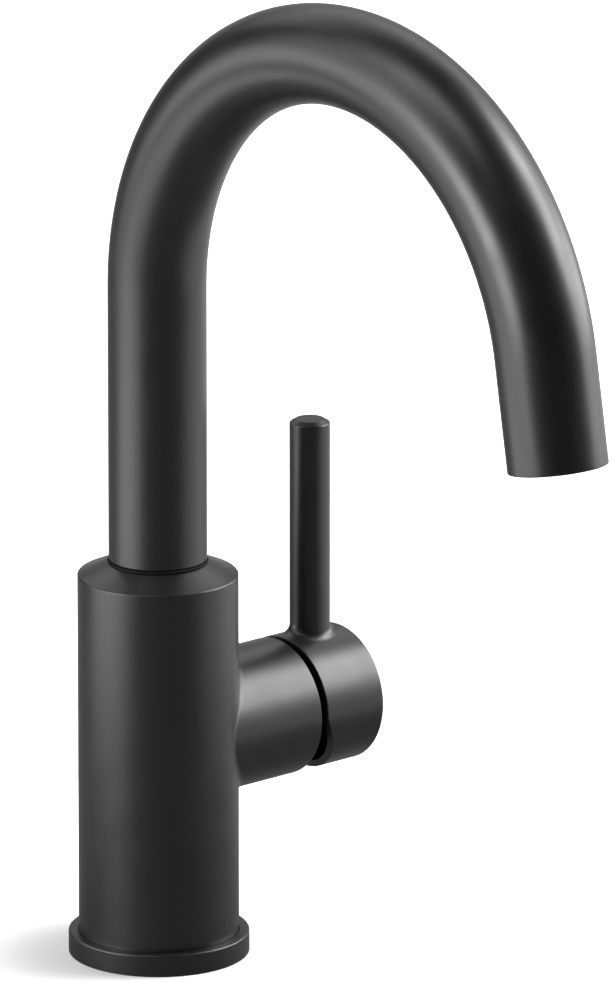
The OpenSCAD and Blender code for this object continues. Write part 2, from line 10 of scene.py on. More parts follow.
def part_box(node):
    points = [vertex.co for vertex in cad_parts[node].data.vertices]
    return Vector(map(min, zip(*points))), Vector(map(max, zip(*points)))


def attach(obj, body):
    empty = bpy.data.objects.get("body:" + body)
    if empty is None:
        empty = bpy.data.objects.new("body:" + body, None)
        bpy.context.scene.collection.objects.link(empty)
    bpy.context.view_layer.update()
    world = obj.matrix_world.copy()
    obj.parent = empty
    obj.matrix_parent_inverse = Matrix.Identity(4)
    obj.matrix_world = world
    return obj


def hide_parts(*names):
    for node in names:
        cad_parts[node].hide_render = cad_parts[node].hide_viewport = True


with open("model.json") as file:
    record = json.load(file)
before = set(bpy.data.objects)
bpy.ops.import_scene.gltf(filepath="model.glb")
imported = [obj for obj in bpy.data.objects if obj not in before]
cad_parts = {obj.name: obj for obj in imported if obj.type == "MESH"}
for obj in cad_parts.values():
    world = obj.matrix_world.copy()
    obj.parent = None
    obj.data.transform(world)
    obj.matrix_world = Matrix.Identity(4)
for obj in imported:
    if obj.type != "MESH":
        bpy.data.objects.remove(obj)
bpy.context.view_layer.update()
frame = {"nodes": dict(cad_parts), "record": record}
mm = 0.001
tau = 2 * math.pi
weldReach = 0.0002 * mm
bevelAngle = math.radians(50)
holeSides = 48


def stageDone(text):
    print("faucet:", text)


# What the frame gives: radii and places of the main forms
columnLow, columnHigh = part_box("body_shell")
hubLow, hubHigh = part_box("handle")
ringLow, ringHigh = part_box("base_ring")
tubeLow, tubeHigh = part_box("spout_tube")
columnR = columnHigh.y
seatZ = columnHigh.z
bossEnd = columnHigh.x
valveR = hubHigh.y
valveZ = hubLow.z + valveR
hubStart, hubEnd = hubLow.x, hubHigh.x
leverTop = hubHigh.z - valveZ
footZ = tubeLow.z
tubeR = tubeHigh.x


# Node trees

def addNode(tree, kind, inputs=None, **settings):
    node = tree.nodes.new(kind)
    for key, value in settings.items():
        setattr(node, key, value)
    for key, value in (inputs or {}).items():
        if isinstance(value, bpy.types.NodeSocket):
            tree.links.new(value, node.inputs[key])
        else:
            node.inputs[key].default_value = value
    return node


def maths(tree, operation, first, second=0.0, third=0.0):
    inputs = {0: first, 1: second, 2: third}
    return addNode(tree, "ShaderNodeMath", inputs, operation=operation).outputs[0]


def vectorMaths(tree, operation, first, second=(0, 0, 0), output="Value"):
    inputs = {0: first, 1: second}
    return addNode(tree, "ShaderNodeVectorMath", inputs, operation=operation).outputs[output]


def blend(tree, factor, first, second):
    return addNode(tree, "ShaderNodeMix", {0: factor, 2: first, 3: second}).outputs[0]


def ease(tree, value, start, end, low=0.0):
    # Rises softly from low to one between start and end
    inputs = {"Value": value, "From Min": start, "From Max": end, "To Min": low, "To Max": 1.0}
    return addNode(tree, "ShaderNodeMapRange", inputs, interpolation_type="SMOOTHSTEP").outputs[0]


def startTree(name, kind, inputs, output):
    tree = bpy.data.node_groups.new(name, kind)
    for label, socketType, value in inputs:
        socket = tree.interface.new_socket(label, in_out="INPUT", socket_type="NodeSocket" + socketType)
        if value is not None:
            socket.default_value = value
    tree.interface.new_socket(output[0], in_out="OUTPUT", socket_type="NodeSocket" + output[1])
    return tree, tree.nodes.new("NodeGroupInput").outputs, tree.nodes.new("NodeGroupOutput").inputs


def dressGeometry(tree, geometry, given, result):
    # Every geometry tree ends so, because the export drops instances
    real = addNode(tree, "GeometryNodeRealizeInstances", {0: geometry})
    dressed = addNode(tree, "GeometryNodeSetMaterial",
                      {"Geometry": real.outputs[0], "Material": given["Material"]})
    tree.links.new(dressed.outputs[0], result["Geometry"])
    return tree


def runTree(name, tree, values):
    # Evaluates a geometry tree on an empty mesh and keeps the result as a plain mesh
    holder = addObject(name + "Holder", bpy.data.meshes.new(name + "Empty"))
    modifier = holder.modifiers.new("tree", "NODES")
    modifier.node_group = tree
    for item in tree.interface.items_tree:
        if item.item_type == "SOCKET" and item.in_out == "INPUT" and item.name in values:
            modifier[item.identifier] = values[item.name]
    return bake(holder, name)


# Meshes

def addObject(name, data):
    added = bpy.data.objects.new(name, data)
    bpy.context.scene.collection.objects.link(added)
    return added


def bake(holder, name):
    bpy.context.view_layer.update()
    evaluated = holder.evaluated_get(bpy.context.evaluated_depsgraph_get())
    mesh = bpy.data.meshes.new_from_object(evaluated)
    mesh.name = name
    bpy.data.objects.remove(holder)
    return addObject(name, mesh)


def meshPiece(name, points, faces):
    mesh = bpy.data.meshes.new(name)
    mesh.from_pydata(points, [], faces)
    mended = bmesh.new()
    mended.from_mesh(mesh)
    bmesh.ops.remove_doubles(mended, verts=mended.verts, dist=weldReach)
    # Edges without a face are left where a line of the outline lies on the axis
    bare = [edge for edge in mended.edges if not edge.link_faces]
    bmesh.ops.delete(mended, geom=bare, context="EDGES")
    bmesh.ops.recalc_face_normals(mended, faces=mended.faces)
    mended.to_mesh(mesh)
    mended.free()
    return addObject(name, mesh)


def ringFaces(rings, count, closed):
    # Quads between neighbouring rings of points, each ring going all the way round
    pairs = [(i, (i + 1) % rings) for i in range(rings if closed else rings - 1)]
    return [(a * count + k, a * count + (k + 1) % count, b * count + (k + 1) % count, b * count + k)
            for a, b in pairs for k in range(count)]


def roundedOutline(corners, steps=5):
    # Closed outline from (radius, height, rounding) corners, in the order given
    outline = []
    for i, (x, y, rounding) in enumerate(corners):
        corner = Vector((x, y))
        if rounding == 0:
            outline.append(corner)
            continue
        before = (Vector(corners[i - 1][:2]) - corner).normalized()
        after = (Vector(corners[(i + 1) % len(corners)][:2]) - corner).normalized()
        half = before.angle(after) / 2
        centre = corner + (before + after).normalized() * rounding / math.sin(half)
        start = corner + before * rounding / math.tan(half) - centre
        end = corner + after * rounding / math.tan(half) - centre
        low = math.atan2(start.y, start.x)
        turn = (math.atan2(end.y, end.x) - low + math.pi) % tau - math.pi
        outline += [centre + Vector((math.cos(low + turn * k / steps), math.sin(low + turn * k / steps)))
                    * rounding for k in range(steps + 1)]
    return outline


def lathe(name, outline, place=Matrix.Identity(4), sides=128):
    points = [place @ Vector((p.x * math.cos(tau * k / sides), p.x * math.sin(tau * k / sides), p.y))
              for p in outline for k in range(sides)]
    return meshPiece(name, points, ringFaces(len(outline), sides, True))


def cutAway(piece, *tools):
    for tool in tools:
        modifier = piece.modifiers.new("cut", "BOOLEAN")
        modifier.object = tool
        modifier.operation = "DIFFERENCE"
        modifier.solver = "EXACT"
        # A cut leaves twin points here and there, and the next cut needs a closed form
        weld = piece.modifiers.new("weld", "WELD")
        weld.merge_threshold = weldReach
    baked = bake(piece, piece.name)
    for tool in tools:
        bpy.data.objects.remove(tool)
    return baked


def softenEdges(piece, width, segments):
    bevel = piece.modifiers.new("edge", "BEVEL")
    bevel.width = width
    bevel.segments = segments
    bevel.limit_method = "ANGLE"
    bevel.angle_limit = bevelAngle
    return bake(piece, piece.name)


def finishPiece(piece, body, finish, *nodes, sharpAngle=32):
    # Smooth skins with true edges; weighted normals keep the flats flat beside a rounding
    material = finishes[finish]
    piece.data.shade_smooth()
    piece.data.set_sharp_from_angle(angle=math.radians(sharpAngle))
    modifier = piece.modifiers.new("weights", "WEIGHTED_NORMAL")
    modifier.keep_sharp = True
    piece = bake(piece, piece.name)
    piece.data.materials.clear()
    piece.data.materials.append(material["material"])
    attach(piece, body)
    if nodes:
        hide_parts(*nodes)


def onValve(x):
    return Matrix.Translation((x, 0, valveZ)) @ Matrix.Rotation(math.pi / 2, 4, "Y")


def sharpOutline(*corners):
    return [Vector(corner) for corner in corners]


def rod(name, radius, start, length, place=Matrix.Identity(4), sides=128):
    outline = sharpOutline((0, start), (radius, start), (radius, start + length), (0, start + length))
    return lathe(name, outline, place, sides)


def bar(name, low, high):
    corners = [(x, y, z) for x in (low[0], high[0]) for y in (low[1], high[1]) for z in (low[2], high[2])]
    faces = [(0, 1, 3, 2), (4, 6, 7, 5), (0, 4, 5, 1), (2, 3, 7, 6), (0, 2, 6, 4), (1, 5, 7, 3)]
    return meshPiece(name, corners, faces)


# A round form along Z with a round branch towards +X, joined by a rolling-ball fillet.
# lowAt and highAt give the height of the end faces at an angle and a radius.
def crossedForm(name, form, lowAt, highAt, place=Matrix.Identity(4)):
    mainR, branchR, blendR = form["mainR"], form["branchR"], form["blendR"]
    count, centreZ = form["sides"], form["centreZ"]
    quarter = count // 4
    reachR = branchR + blendR
    windowPhi = math.asin(reachR / (mainR + blendR)) + form["windowPhi"]
    windowZ = reachR + form["windowZ"]
    low, high = lowAt(0, mainR), highAt(0, mainR)
    lowRounding, highRounding = form["lowRounding"], form["highRounding"]
    arcSteps = form["arcSteps"]
    points, faces = [], []

    def onMain(phi, z, r=mainR):
        return Vector((r * math.cos(phi), r * math.sin(phi), z))

    def addRing(ring):
        start = len(points)
        points.extend(ring)
        return list(range(start, len(points)))

    def join(a, b):
        n = len(a)
        faces.extend((a[k], a[(k + 1) % n], b[(k + 1) % n], b[k]) for k in range(n))

    def spread(start, end, steps):
        return [start + (end - start) * k / steps for k in range(steps + 1)]

    # The skin of the main form outside the window, as rows of points all the way round
    shares = [math.tan(math.pi / 4 * (2 * k / quarter - 1)) for k in range(quarter + 1)]
    across = [windowPhi * share for share in shares]
    rest = spread(windowPhi, math.pi / 2, form["sideSteps"])[1:]
    rest += spread(math.pi / 2, 1.5 * math.pi, form["backSteps"])[1:]
    rest += spread(1.5 * math.pi, tau - windowPhi, form["sideSteps"])[1:-1]
    phis = across + rest
    levels = [centreZ + windowZ * share for share in shares]
    lowLevels = spread(low + lowRounding, levels[0], form["endSteps"])
    highLevels = spread(levels[-1], high - highRounding, form["endSteps"])

    def stretched(phi, z):
        # Slanted ends are taken up along the whole height
        return lowAt(phi, mainR) + (z - low) * (highAt(phi, mainR) - lowAt(phi, mainR)) / (high - low)

    rows = [addRing([onMain(phi, stretched(phi, z)) for phi in phis])
            for z in lowLevels + levels[1:-1] + highLevels]
    firstLevel = len(lowLevels) - 1
    for i in range(len(rows) - 1):
        for k in range(len(phis)):
            inWindow = firstLevel <= i < firstLevel + quarter and k < quarter
            if not inWindow:
                n = (k + 1) % len(phis)
                faces.append((rows[i][k], rows[i][n], rows[i + 1][n], rows[i + 1][k]))

    # The window's edge, once round from +Y, matched to the branch's own angles
    lastLevel = firstLevel + quarter
    middle = quarter // 2
    right = [rows[firstLevel + i][quarter] for i in range(middle, quarter)]
    top = [rows[lastLevel][quarter - k] for k in range(quarter)]
    left = [rows[lastLevel - i][0] for i in range(quarter)]
    bottom = [rows[firstLevel][k] for k in range(quarter)]
    rightLow = [rows[firstLevel + i][quarter] for i in range(middle)]
    edge = right + top + left + bottom + rightLow

    # The fillet: a ball rolls along both skins, and its centre runs on the two offset cylinders
    angles = [tau * k / count for k in range(count)]
    centres = []
    for t in angles:
        y, z = reachR * math.cos(t), reachR * math.sin(t)
        centres.append(Vector((math.sqrt((mainR + blendR) ** 2 - y * y), y, z + centreZ)))
    onSkin = [(math.atan2(c.y, c.x), c.z) for c in centres]
    edgePlaces = [(math.atan2(points[i].y, points[i].x), points[i].z) for i in edge]
    last = edge
    for step in range(1, form["windowSteps"]):
        share = 1 - step / form["windowSteps"]
        share = share * share * (1 - form["windowEase"]) + share * form["windowEase"]
        ring = addRing([onMain(a[0] + (b[0] - a[0]) * share, a[1] + (b[1] - a[1]) * share)
                        for a, b in zip(onSkin, edgePlaces)])
        join(last, ring)
        last = ring
    for step in range(arcSteps + 1):
        ring = []
        for t, c in zip(angles, centres):
            toMain = -Vector((c.x, c.y, 0)).normalized()
            toBranch = -Vector((0, math.cos(t), math.sin(t)))
            ring.append(c + toMain.slerp(toBranch, step / arcSteps) * blendR)
        ring = addRing(ring)
        join(last, ring)
        last = ring

    # The branch out to its rounded end
    for x, r in form["branchOutline"]:
        ring = addRing([Vector((x, r * math.cos(t), centreZ + r * math.sin(t))) for t in angles])
        join(last, ring)
        last = ring
    tip = len(points)
    points.append(Vector((form["branchOutline"][-1][0], 0, centreZ)))
    faces.extend((last[k], last[(k + 1) % count], tip) for k in range(count))

    # The end faces of the main form, rounded at the rim
    ends = ((rows[0], lowRounding, lowAt, -1), (rows[-1], highRounding, highAt, 1))
    for row, rounding, endAt, sign in ends:
        last = row
        for step in range(1, form["rimSteps"] + 1):
            turn = math.pi / 2 * step / form["rimSteps"]
            r = mainR - rounding * (1 - math.cos(turn))
            drop = rounding * (1 - math.sin(turn))
            ring = addRing([onMain(phi, endAt(phi, r) - sign * drop, r) for phi in phis])
            join(last, ring)
            last = ring
        middlePoint = len(points)
        points.append(Vector((0, 0, endAt(0, 0))))
        faces.extend((last[k], last[(k + 1) % len(phis)], middlePoint) for k in range(len(phis)))
    return meshPiece(name, [place @ p for p in points], faces)


# Shared effects

grainTree, grainIn, grainOut = startTree(
    "fineGrain", "ShaderNodeTree",
    [("Vector", "Vector", None), ("Size", "Float", 0.4 * mm), ("Detail", "Float", 3.0)],
    ("Height", "Float"))
grainScale = maths(grainTree, "DIVIDE", 1.0, grainIn["Size"])
grainNoise = addNode(grainTree, "ShaderNodeTexNoise",
                     {"Vector": grainIn["Vector"], "Scale": grainScale, "Detail": grainIn["Detail"],
                      "Roughness": 0.55})
grainTree.links.new(grainNoise.outputs[0], grainOut["Height"])

mottleTree, mottleIn, mottleOut = startTree(
    "softMottle", "ShaderNodeTree",
    [("Vector", "Vector", None), ("Size", "Float", 20 * mm), ("Low", "Float", 0.4),
     ("High", "Float", 0.5)],
    ("Value", "Float"))
mottleScale = maths(mottleTree, "DIVIDE", 1.0, mottleIn["Size"])
mottleNoise = addNode(mottleTree, "ShaderNodeTexNoise",
                      {"Vector": mottleIn["Vector"], "Scale": mottleScale, "Detail": 4.0,
                       "Roughness": 0.6})
mottleRange = addNode(mottleTree, "ShaderNodeMapRange",
                      {"Value": mottleNoise.outputs[0], "From Min": 0.3, "From Max": 0.7,
                       "To Min": mottleIn["Low"], "To Max": mottleIn["High"]})
mottleTree.links.new(mottleRange.outputs[0], mottleOut["Value"])

turnedTree, turnedIn, turnedOut = startTree(
    "turnedLines", "ShaderNodeTree",
    [("Vector", "Vector", None), ("Pitch", "Float", 0.2 * mm)], ("Height", "Float"))
turnedPlace = vectorMaths(turnedTree, "MULTIPLY", turnedIn["Vector"], (1, 1, 0), "Vector")
turnedRadius = vectorMaths(turnedTree, "LENGTH", turnedPlace)
turnedHeight = addNode(turnedTree, "ShaderNodeSeparateXYZ", {0: turnedIn["Vector"]}).outputs[2]
turnedRun = maths(turnedTree, "ADD", turnedRadius, turnedHeight)
turnedNoise = addNode(turnedTree, "ShaderNodeTexNoise",
                      {"W": maths(turnedTree, "DIVIDE", turnedRun, turnedIn["Pitch"]), "Scale": 1.0,
                       "Detail": 2.0}, noise_dimensions="1D")
turnedTree.links.new(turnedNoise.outputs[0], turnedOut["Height"])


def emptyTree(owner):
    owner.use_nodes = True
    owner.node_tree.nodes.clear()
    return owner.node_tree


def startMaterial(name, slot):
    material = bpy.data.materials.new(name)
    tree = emptyTree(material)
    shader = addNode(tree, "ShaderNodeBsdfPrincipled")
    addNode(tree, "ShaderNodeOutputMaterial", {"Surface": shader.outputs[0]})
    place = addNode(tree, "ShaderNodeTexCoord").outputs["Object"]
    return {"material": material, "slot": slot, "tree": tree, "shader": shader, "place": place}


def effect(m, group, values):
    inputs = {"Vector": m["place"], **values}
    return addNode(m["tree"], "ShaderNodeGroup", inputs, node_tree=group).outputs[0]


def mottled(m, size, low, high):
    return effect(m, mottleTree, {"Size": size, "Low": low, "High": high})


def grained(m, size, depth, turned=0.0, lineWeight=3.0):
    # Fine grain in the surface, on turned pieces with the lathe's lines across it
    tree = m["tree"]
    height = effect(m, grainTree, {"Size": size})
    if turned > 0:
        lines = effect(m, turnedTree, {"Pitch": turned})
        height = maths(tree, "MULTIPLY_ADD", lines, lineWeight, height)
    bump = addNode(tree, "ShaderNodeBump", {"Height": height, "Distance": depth, "Strength": 1.0})
    tree.links.new(bump.outputs[0], m["shader"].inputs["Normal"])


def shaded(m, dark, light, factor):
    mix = addNode(m["tree"], "ShaderNodeMix", {0: factor, 6: (*dark, 1), 7: (*light, 1)},
                  data_type="RGBA")
    m["tree"].links.new(mix.outputs[2], m["shader"].inputs["Base Color"])


def roughened(m, size, low, high):
    m["tree"].links.new(mottled(m, size, low, high), m["shader"].inputs["Roughness"])


coatLook = {
    "dark": (0.0075, 0.0075, 0.0077), "light": (0.0105, 0.0105, 0.0108), "cloud": 30 * mm,
    "rough cloud": 10 * mm, "rough low": 0.33, "rough high": 0.39, "gloss": 1.6,
    "grain": 0.5 * mm, "grain depth": 0.0012 * mm,
}


def satinBlack():
    m = startMaterial("satinBlack", "matte_black")
    shaded(m, coatLook["dark"], coatLook["light"], mottled(m, coatLook["cloud"], 0.0, 1.0))
    roughened(m, coatLook["rough cloud"], coatLook["rough low"], coatLook["rough high"])
    m["shader"].inputs["IOR"].default_value = coatLook["gloss"]
    grained(m, coatLook["grain"], coatLook["grain depth"])
    return m


plainLook = {"grain": 0.3 * mm, "grain depth": 0.002 * mm, "cloud": 8 * mm, "rough cloud": 2 * mm,
             "rough spread": 0.15}


def plainFinish(name, slot, dark, light, rough, metallic=0.0, turned=0.0, gloss=1.5):
    m = startMaterial(name, slot)
    spread = plainLook["rough spread"]
    shaded(m, dark, light, mottled(m, plainLook["cloud"], 0.0, 1.0))
    roughened(m, plainLook["rough cloud"], rough * (1 - spread), rough * (1 + spread))
    m["shader"].inputs["Metallic"].default_value = metallic
    m["shader"].inputs["IOR"].default_value = gloss
    grained(m, plainLook["grain"], plainLook["grain depth"], turned)
    return m


finishes = {
    "coat": satinBlack(),
    # Black plastic made darker still for the glide ring: partly its own black, partly painted shade for the
    # crease at the tube's foot
    "sootyPlastic": plainFinish("sootyPlastic", "black_plastic", (0.002, 0.002, 0.002),
                                (0.004, 0.004, 0.004), 0.75, gloss=1.3),
    "blackPlastic": plainFinish("mouldedBlack", "black_plastic", (0.006, 0.006, 0.006),
                                (0.01, 0.01, 0.01), 0.5),
    "brass": plainFinish("turnedBrass", "brass", (0.62, 0.43, 0.18), (0.78, 0.58, 0.28), 0.28,
                         metallic=1.0, turned=0.15 * mm),
    "steel": plainFinish("stainless", "steel", (0.5, 0.5, 0.51), (0.66, 0.66, 0.67), 0.25,
                         metallic=1.0, turned=0.1 * mm),
    "whitePlastic": plainFinish("mouldedWhite", "white_plastic", (0.72, 0.72, 0.69),
                                (0.82, 0.82, 0.79), 0.4),
    "ceramic": plainFinish("lappedCeramic", "ceramic", (0.82, 0.8, 0.75), (0.9, 0.88, 0.83), 0.16),
    "rubber": plainFinish("blackRubber", "rubber", (0.012, 0.012, 0.012), (0.02, 0.02, 0.02), 0.7),
}
slotFinish = {f["slot"]: f for f in finishes.values()}
for part in frame["record"]["subparts"]:
    held = frame["nodes"][part["node"]]
    held.data.materials.clear()
    held.data.materials.append(slotFinish[part["material_slot"]]["material"])
stageDone("finishes are on the packed nodes")


# Spout

spoutShape = {
    "wall": 1.2 * mm, "rise": 83.5 * mm, "bend radius": 86 * mm, "bend angle": math.radians(170),
    "drop": 32.5 * mm, "sides": 112, "steps": 180, "rim rounding": 0.35 * mm, "rim steps": 4,
}


def spoutTree():
    tree, given, result = startTree(
        "bentTube", "GeometryNodeTree",
        [("Tube Radius", "Float", tubeR), ("Rise", "Float", 0.1), ("Bend Radius", "Float", 0.1),
         ("Bend Angle", "Float", 3.0), ("Drop", "Float", 0.03), ("Foot Height", "Float", 0.1),
         ("Sides", "Int", 96), ("Steps", "Int", 96), ("Material", "Material", None)],
        ("Geometry", "Geometry"))
    length = maths(tree, "MULTIPLY", given["Bend Radius"], given["Bend Angle"])
    length = maths(tree, "ADD", maths(tree, "ADD", length, given["Rise"]), given["Drop"])
    skin = addNode(tree, "GeometryNodeMeshCylinder",
                   {"Vertices": given["Sides"], "Side Segments": given["Steps"],
                    "Radius": given["Tube Radius"], "Depth": 1.0}, fill_type="NONE")
    local = addNode(tree, "ShaderNodeSeparateXYZ",
                    {0: addNode(tree, "GeometryNodeInputPosition").outputs[0]}).outputs
    # Along the middle line: how far past the rise, the angle turned, and what stays straight
    past = maths(tree, "MULTIPLY_ADD", maths(tree, "ADD", local[2], 0.5), length,
                 maths(tree, "MULTIPLY", given["Rise"], -1.0))
    turned = maths(tree, "DIVIDE", past, given["Bend Radius"])
    turned = maths(tree, "MINIMUM", maths(tree, "MAXIMUM", turned, 0.0), given["Bend Angle"])
    straight = maths(tree, "SUBTRACT", past, maths(tree, "MULTIPLY", turned, given["Bend Radius"]))
    arm = maths(tree, "ADD", local[1], given["Bend Radius"])
    cosine, sine = maths(tree, "COSINE", turned), maths(tree, "SINE", turned)
    y = maths(tree, "SUBTRACT", maths(tree, "MULTIPLY", arm, cosine), given["Bend Radius"])
    y = maths(tree, "SUBTRACT", y, maths(tree, "MULTIPLY", straight, sine))
    z = maths(tree, "MULTIPLY_ADD", arm, sine, maths(tree, "MULTIPLY", straight, cosine))
    z = maths(tree, "ADD", z, maths(tree, "ADD", given["Rise"], given["Foot Height"]))
    bent = addNode(tree, "ShaderNodeCombineXYZ", {0: local[0], 1: y, 2: z}).outputs[0]
    moved = addNode(tree, "GeometryNodeSetPosition", {"Geometry": skin.outputs[0], "Position": bent})
    return dressGeometry(tree, moved.outputs[0], given, result)


def makeSpout():
    s = spoutShape
    skin = runTree("spoutTube", spoutTree(), {
        "Tube Radius": tubeR, "Rise": s["rise"], "Bend Radius": s["bend radius"],
        "Bend Angle": s["bend angle"], "Drop": s["drop"], "Foot Height": footZ, "Sides": s["sides"],
        "Steps": s["steps"], "Material": finishes["coat"]["material"]})
    # The wall grows inwards, so the skin has to face outwards
    outward = bmesh.new()
    outward.from_mesh(skin.data)
    bmesh.ops.recalc_face_normals(outward, faces=outward.faces)
    outward.faces.ensure_lookup_table()
    probe = outward.faces[0]
    if probe.normal.dot(probe.calc_center_median() * Vector((1, 1, 0))) < 0:
        bmesh.ops.reverse_faces(outward, faces=outward.faces)
    outward.to_mesh(skin.data)
    outward.free()
    wall = skin.modifiers.new("wall", "SOLIDIFY")
    wall.thickness = s["wall"]
    wall.offset = -1.0
    wall.use_even_offset = True
    finishPiece(softenEdges(skin, s["rim rounding"], s["rim steps"]), "spout", "coat", "spout_tube")


makeSpout()
stageDone("spout tube")


# Glide ring under the spout

glideShape = {"bore": 11.98 * mm, "rounding": 0.4 * mm, "bore rounding": 0.1 * mm}


def makeGlideRing():
    low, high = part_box("spout_glide_ring")
    inner, innerSoft, soft = glideShape["bore"], glideShape["bore rounding"], glideShape["rounding"]
    outline = roundedOutline([(inner, low.z, innerSoft), (high.x, low.z, soft), (high.x, high.z, soft),
                              (inner, high.z, innerSoft)])
    # Its finish is black plastic darkened with painted shade for the crease under the spout
    finishPiece(lathe("glideRing", outline), "base", "sootyPlastic", "spout_glide_ring")


makeGlideRing()
stageDone("glide ring")


# Column with its side boss

bodyShape = {
    "blend": 3.0 * mm, "rim rounding": 0.55 * mm, "bottom rounding": 0.2 * mm, "boss rounding": 0.35 * mm,
    "bore": 21.35 * mm, "top rise": 3.6 * mm, "top seat": 15.2 * mm, "top thickness": 7 * mm,
    "neck bore": 13.53 * mm, "recess": 17.7 * mm, "thread": 18.2 * mm, "thread start": 41 * mm,
    "boss steps": 8, "cut": 1 * mm,
}


def roundedEnd(x, r, rounding, steps=5):
    # The branch's last stretch: straight, then round the rim to the flat face
    turns = [math.pi / 2 * k / steps for k in range(steps + 1)]
    return [(x - rounding + rounding * math.sin(a), r - rounding + rounding * math.cos(a)) for a in turns]


def makeBody():
    b = bodyShape
    rim, bossRim, cut, steps = b["rim rounding"], b["boss rounding"], b["cut"], b["boss steps"]
    rimZ = seatZ - b["top rise"]
    slope = b["top rise"] / (columnR - rim - b["top seat"])
    start = columnR + b["blend"]
    straight = [(start + (bossEnd - bossRim - start) * k / steps, valveR) for k in range(1, steps)]
    form = {
        "mainR": columnR, "branchR": valveR, "blendR": b["blend"], "centreZ": valveZ,
        "sides": 192, "windowPhi": math.radians(10), "windowZ": 3 * mm, "windowSteps": 9, "windowEase": 0.5,
        "arcSteps": 10, "sideSteps": 6, "backSteps": 72, "endSteps": 3, "rimSteps": 5,
        "lowRounding": b["bottom rounding"], "highRounding": rim,
        "branchOutline": straight + roundedEnd(bossEnd, valveR, bossRim),
    }
    # From its rim the top rises in a cone, which is cut flat at the glide ring's seat
    body = crossedForm("columnBody", form, lambda phi, r: columnLow.z,
                       lambda phi, r: rimZ + max(0.0, columnR - rim - r) * slope)
    under = rimZ - b["top thickness"]
    body = cutAway(
        body,
        rod("seat", b["bore"], seatZ, b["bore"]),
        rod("bore", b["bore"], columnLow.z - cut, under - columnLow.z + cut),
        rod("neck", b["neck bore"], under - cut, seatZ - under + 2 * cut),
        rod("recess", b["recess"], 0, bossEnd + cut, onValve(0)),
        rod("thread", b["thread"], b["thread start"], bossEnd, onValve(0)))
    finishPiece(body, "base", "coat", "body_shell")


makeBody()
stageDone("column and boss")


# Base ring

ringShape = {"bore": 24.05 * mm, "step": 26.025 * mm, "gasket": 2 * mm, "top rounding": 0.6 * mm,
             "low rounding": 0.25 * mm, "bore rounding": 0.2 * mm, "edge": 0.05 * mm,
             "step edge": 0.1 * mm, "sides": 160}


def makeBaseRing():
    low, high, outer = ringLow.z, ringHigh.z, ringHigh.x
    bore, step, shelf = ringShape["bore"], ringShape["step"], ringLow.z + ringShape["gasket"]
    outline = roundedOutline([
        (bore, shelf, ringShape["edge"]), (step, shelf, ringShape["edge"]),
        (step, low, ringShape["step edge"]), (outer, low, ringShape["low rounding"]),
        (outer, high, ringShape["top rounding"]), (bore, high, ringShape["bore rounding"])])
    finishPiece(lathe("baseRing", outline, sides=ringShape["sides"]), "base", "coat", "base_ring")


makeBaseRing()
stageDone("base ring")


# Handle: hub and lever in one

handleShape = {
    "lever from face": 10.8 * mm, "lever radius": 6.1 * mm, "lever steps": 12, "blend": 3.2 * mm,
    "chamfer width": 1.8 * mm, "chamfer height": 1.1 * mm, "chamfer edge": 0.35 * mm,
    "chamfer foot": 0.525 * mm, "chamfer steps": 4, "relief": math.radians(20.8),
    "end rounding": 0.55 * mm, "face rounding": 0.3 * mm, "cavity": 18.8 * mm,
    "cavity rounding": 0.6 * mm, "end thickness": 4.5 * mm, "grip radius": 8.457 * mm,
    "grip rounding": 0.3 * mm, "grip from face": 6.6 * mm, "socket": 8.1 * mm, "post radius": 4.5 * mm,
    "screw hole": 2.55 * mm, "screw from face": 12.15 * mm, "cut": 1 * mm,
}


def makeHandle():
    h = handleShape
    tan = math.tan(h["relief"])
    leverR, wide, steps, cut = h["lever radius"], h["chamfer width"], h["lever steps"], h["cut"]
    # The chamfer's two edges are softened by small arcs
    chamferLine = roundedOutline([
        (leverR, 0, 0), (leverR, leverTop - h["chamfer height"], h["chamfer foot"]),
        (leverR - wide, leverTop, h["chamfer edge"]), (0, leverTop, 0)], h["chamfer steps"])[1:-1]
    start = valveR + h["blend"]
    straight = [(start + (leverTop - 2 * wide - start) * k / steps, leverR) for k in range(1, steps + 1)]
    form = {
        "mainR": valveR, "branchR": leverR, "blendR": h["blend"], "centreZ": hubStart + h["lever from face"],
        "sides": 96, "windowPhi": math.radians(10), "windowZ": 1.0 * mm, "windowSteps": 7, "windowEase": 0.6,
        "arcSteps": 9, "sideSteps": 16, "backSteps": 64, "endSteps": 2, "rimSteps": 5,
        "lowRounding": h["face rounding"], "highRounding": h["end rounding"],
        "branchOutline": straight + [(p.y, p.x) for p in chamferLine],
    }
    # The hub lies along X with the lever up: local X is world Z, and local Z is world X
    place = Matrix(((0, 0, 1, 0), (0, -1, 0, 0), (1, 0, 0, valveZ), (0, 0, 0, 1)))
    handle = crossedForm("handleBody", form,
                         lambda phi, r: hubStart + max(0.0, -r * math.cos(phi)) * tan,
                         lambda phi, r: hubEnd, place)
    inner = hubEnd - h["end thickness"]
    grip = hubStart + h["grip from face"]
    cavity = lathe("cavity", roundedOutline([
        (0, hubStart - cut, 0), (h["cavity"], hubStart - cut, 0), (h["cavity"], inner, h["cavity rounding"]),
        (h["grip radius"], inner, h["cavity rounding"]), (h["grip radius"], grip, h["grip rounding"]),
        (0, grip, 0)]), onValve(0))
    # A post stays in the cavity under the grip, and the set screw's hole runs up through it
    screwX = hubStart + h["screw from face"]
    down = Matrix.Translation((screwX, 0, valveZ)) @ Matrix.Rotation(math.pi, 4, "X")
    cavity = cutAway(cavity, rod("post", h["post radius"], 0, 2 * valveR, down, holeSides))
    half = h["socket"] / 2
    handle = cutAway(
        handle, cavity, bar("socket", (grip - cut, -half, valveZ - half), (inner, half, valveZ + half)),
        rod("screwHole", h["screw hole"], 0, 2 * valveR, down, holeSides))
    finishPiece(handle, "handle", "coat", "handle")


makeHandle()
stageDone("handle")


# Cap over the ring nut, seen in the gap

capShape = {"bore": 12.3 * mm, "shoulder": 1.6 * mm, "rounding": 0.2 * mm}


